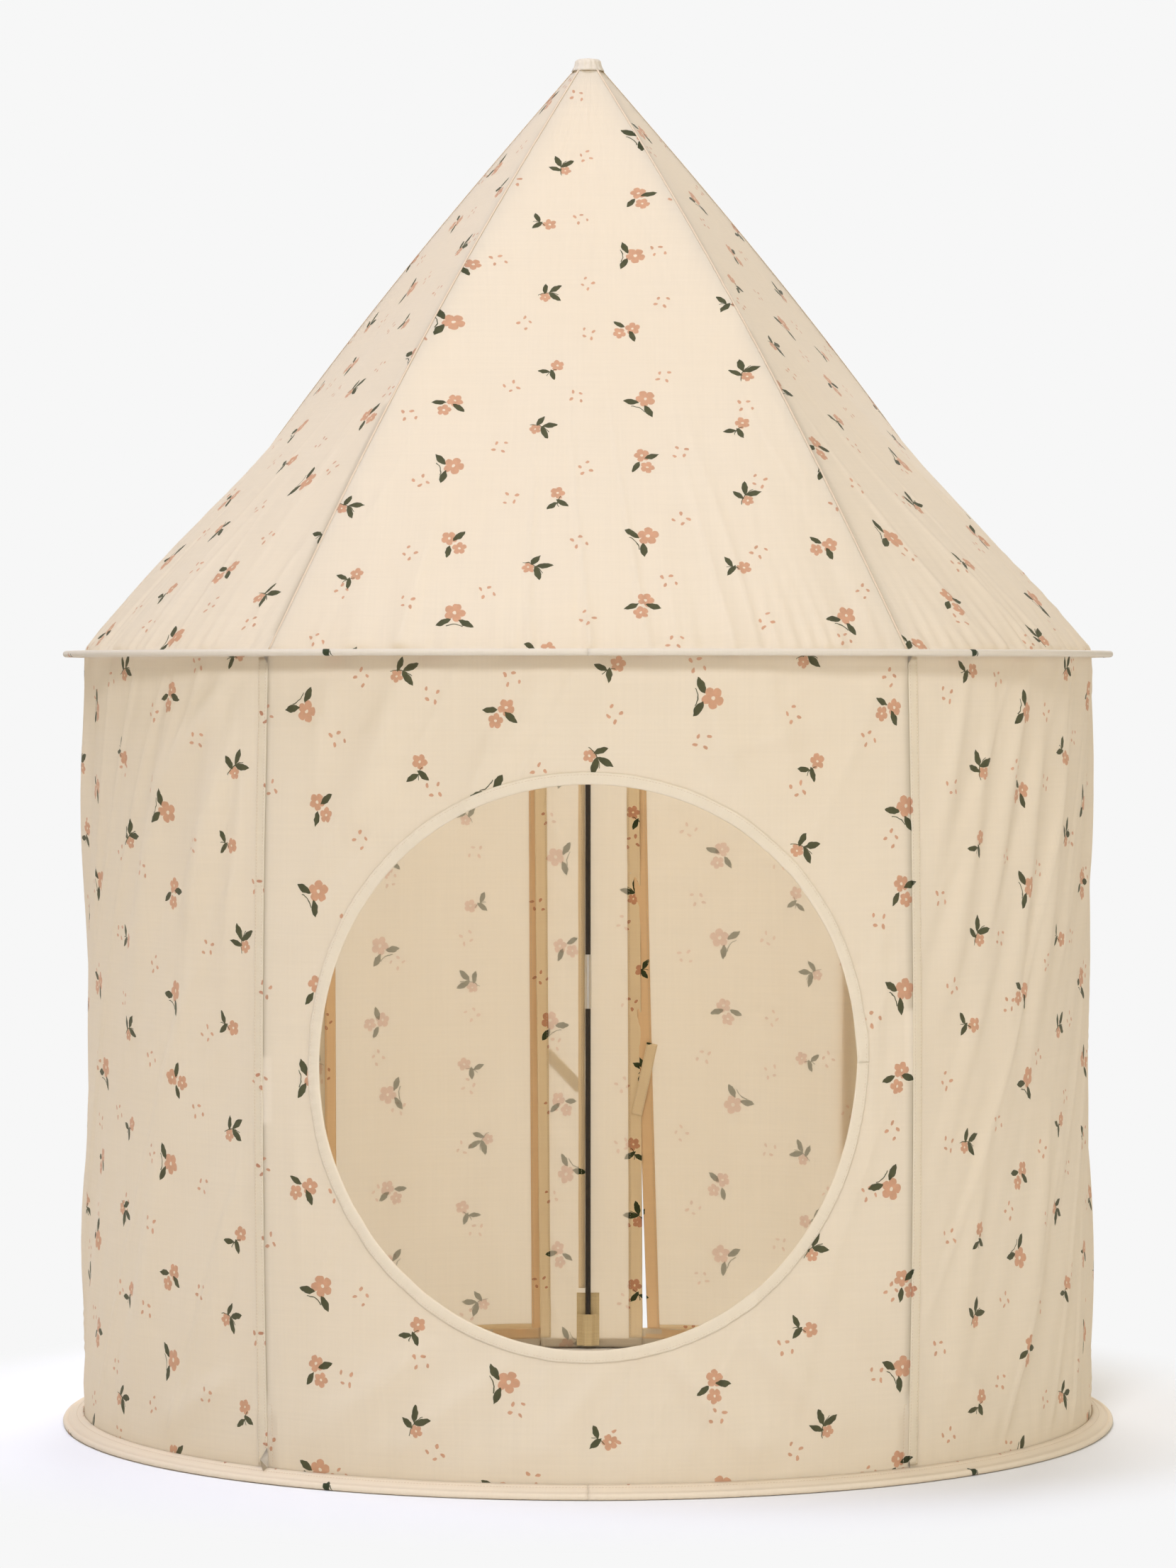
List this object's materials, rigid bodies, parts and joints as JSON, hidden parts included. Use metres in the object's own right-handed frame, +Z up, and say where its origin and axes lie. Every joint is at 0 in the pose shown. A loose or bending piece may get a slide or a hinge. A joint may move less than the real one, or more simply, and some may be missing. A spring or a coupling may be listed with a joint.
{
  "type": "pop-up play tent",
  "caption": "Free-standing cloth play tent with a pointed roof on sprung hoops and sectional poles, a round front window, two curtained doorways at the rear and tie straps.",
  "frame": {"origin": "centre of the base ring on the floor", "axes": "+Z up through the point of the roof, -Y towards the round window, +X to the right of a viewer who faces the window"},
  "size_m": [1.05, 1.05, 1.364],
  "materials": {
    "cream_cotton": "matt cream cotton, thin enough to glow a little with light behind it",
    "doubled_cotton": "the same cotton folded double, tan where light comes through it",
    "binding_tape": "matt bias binding tape",
    "khaki_webbing": "ribbed khaki webbing",
    "dark_fibreglass": "near-black pultruded fibreglass rod, satin",
    "ferrule_steel": "rolled bright steel sleeve",
    "spring_wire": "spring steel wire"
  },
  "bodies": {
    "tent": {"apex_cap": "cream_cotton", "base_hem": "cream_cotton", "base_hoop": "spring_wire", "base_hoop_joiner": "ferrule_steel", "door_sill_left": "doubled_cotton", "door_sill_right": "doubled_cotton", "eave_casing": "cream_cotton", "eave_hoop": "spring_wire", "eave_hoop_joiner": "ferrule_steel", "front_left_pocket": "khaki_webbing", "front_left_pole_eave_elbow": "ferrule_steel", "front_left_pole_roof_lower_rod": "dark_fibreglass", "front_left_pole_roof_upper_rod": "dark_fibreglass", "front_left_pole_wall_ferrule": "ferrule_steel", "front_left_pole_wall_lower_rod": "dark_fibreglass", "front_left_pole_wall_upper_rod": "dark_fibreglass", "front_panel": "cream_cotton", "front_right_pocket": "khaki_webbing", "front_right_pole_eave_elbow": "ferrule_steel", "front_right_pole_roof_lower_rod": "dark_fibreglass", "front_right_pole_roof_upper_rod": "dark_fibreglass", "front_right_pole_wall_ferrule": "ferrule_steel", "front_right_pole_wall_lower_rod": "dark_fibreglass", "front_right_pole_wall_upper_rod": "dark_fibreglass", "rear_pocket": "khaki_webbing", "rear_pole_eave_elbow": "ferrule_steel", "rear_pole_roof_lower_rod": "dark_fibreglass", "rear_pole_roof_upper_rod": "dark_fibreglass", "rear_pole_wall_ferrule": "ferrule_steel", "rear_pole_wall_lower_rod": "dark_fibreglass", "rear_pole_wall_upper_rod": "dark_fibreglass", "rear_strip": "cream_cotton", "roof_gore_front": "cream_cotton", "roof_gore_left": "cream_cotton", "roof_gore_rear_left": "cream_cotton", "roof_gore_rear_right": "cream_cotton", "roof_gore_right": "cream_cotton", "side_left_pocket": "khaki_webbing", "side_left_pole_eave_elbow": "ferrule_steel", "side_left_pole_roof_lower_rod": "dark_fibreglass", "side_left_pole_roof_upper_rod": "dark_fibreglass", "side_left_pole_wall_ferrule": "ferrule_steel", "side_left_pole_wall_lower_rod": "dark_fibreglass", "side_left_pole_wall_upper_rod": "dark_fibreglass", "side_panel_left": "cream_cotton", "side_panel_right": "cream_cotton", "side_right_pocket": "khaki_webbing", "side_right_pole_eave_elbow": "ferrule_steel", "side_right_pole_roof_lower_rod": "dark_fibreglass", "side_right_pole_roof_upper_rod": "dark_fibreglass", "side_right_pole_wall_ferrule": "ferrule_steel", "side_right_pole_wall_lower_rod": "dark_fibreglass", "side_right_pole_wall_upper_rod": "dark_fibreglass", "window_binding": "binding_tape"},
    "curtain_left_far": {"curtain_left_far": "cream_cotton"},
    "curtain_left_near": {"curtain_left_near": "cream_cotton"},
    "curtain_right_far": {"curtain_right_far": "cream_cotton"},
    "curtain_right_near": {"curtain_right_near": "cream_cotton"},
    "tie_left": {"tie_left": "doubled_cotton"},
    "tie_right": {"tie_right": "doubled_cotton"}
  },
  "joints": [
    {"name": "curtain_right_far_lift", "type": "hinge", "parent": "tent", "child": "curtain_right_far", "pos_m": [0.39233, 0.33323, 0.76315], "axis": [0.6474, -0.7622, 0], "range_deg": [0, 40]},
    {"name": "curtain_right_near_lift", "type": "hinge", "parent": "tent", "child": "curtain_right_near", "pos_m": [0.22323, 0.45716, 0.76315], "axis": [0.8986, -0.4388, 0], "range_deg": [0, 32]},
    {"name": "curtain_left_near_lift", "type": "hinge", "parent": "tent", "child": "curtain_left_near", "pos_m": [-0.22172, 0.46455, 0.76315], "axis": [0.9025, 0.4307, 0], "range_deg": [0, 40]},
    {"name": "curtain_left_far_lift", "type": "hinge", "parent": "tent", "child": "curtain_left_far", "pos_m": [-0.38776, 0.32935, 0.76315], "axis": [0.6474, 0.7622, 0], "range_deg": [0, 32]},
    {"name": "tie_left_swing", "type": "hinge", "parent": "tent", "child": "tie_left", "pos_m": [-0.04627, 0.50602, 0.33172], "axis": [0.9958, 0.0911, 0], "range_deg": [0, 90]},
    {"name": "tie_right_swing", "type": "hinge", "parent": "tent", "child": "tie_right", "pos_m": [0.07143, 0.49889, 0.33753], "axis": [-0.9899, 0.1417, 0], "range_deg": [0, 90]}
  ],
  "couplings": [
    {"joint": "curtain_right_near_lift", "follows": "curtain_right_far_lift", "ratio": 0.8},
    {"joint": "curtain_left_far_lift", "follows": "curtain_left_near_lift", "ratio": 0.8}
  ]
}
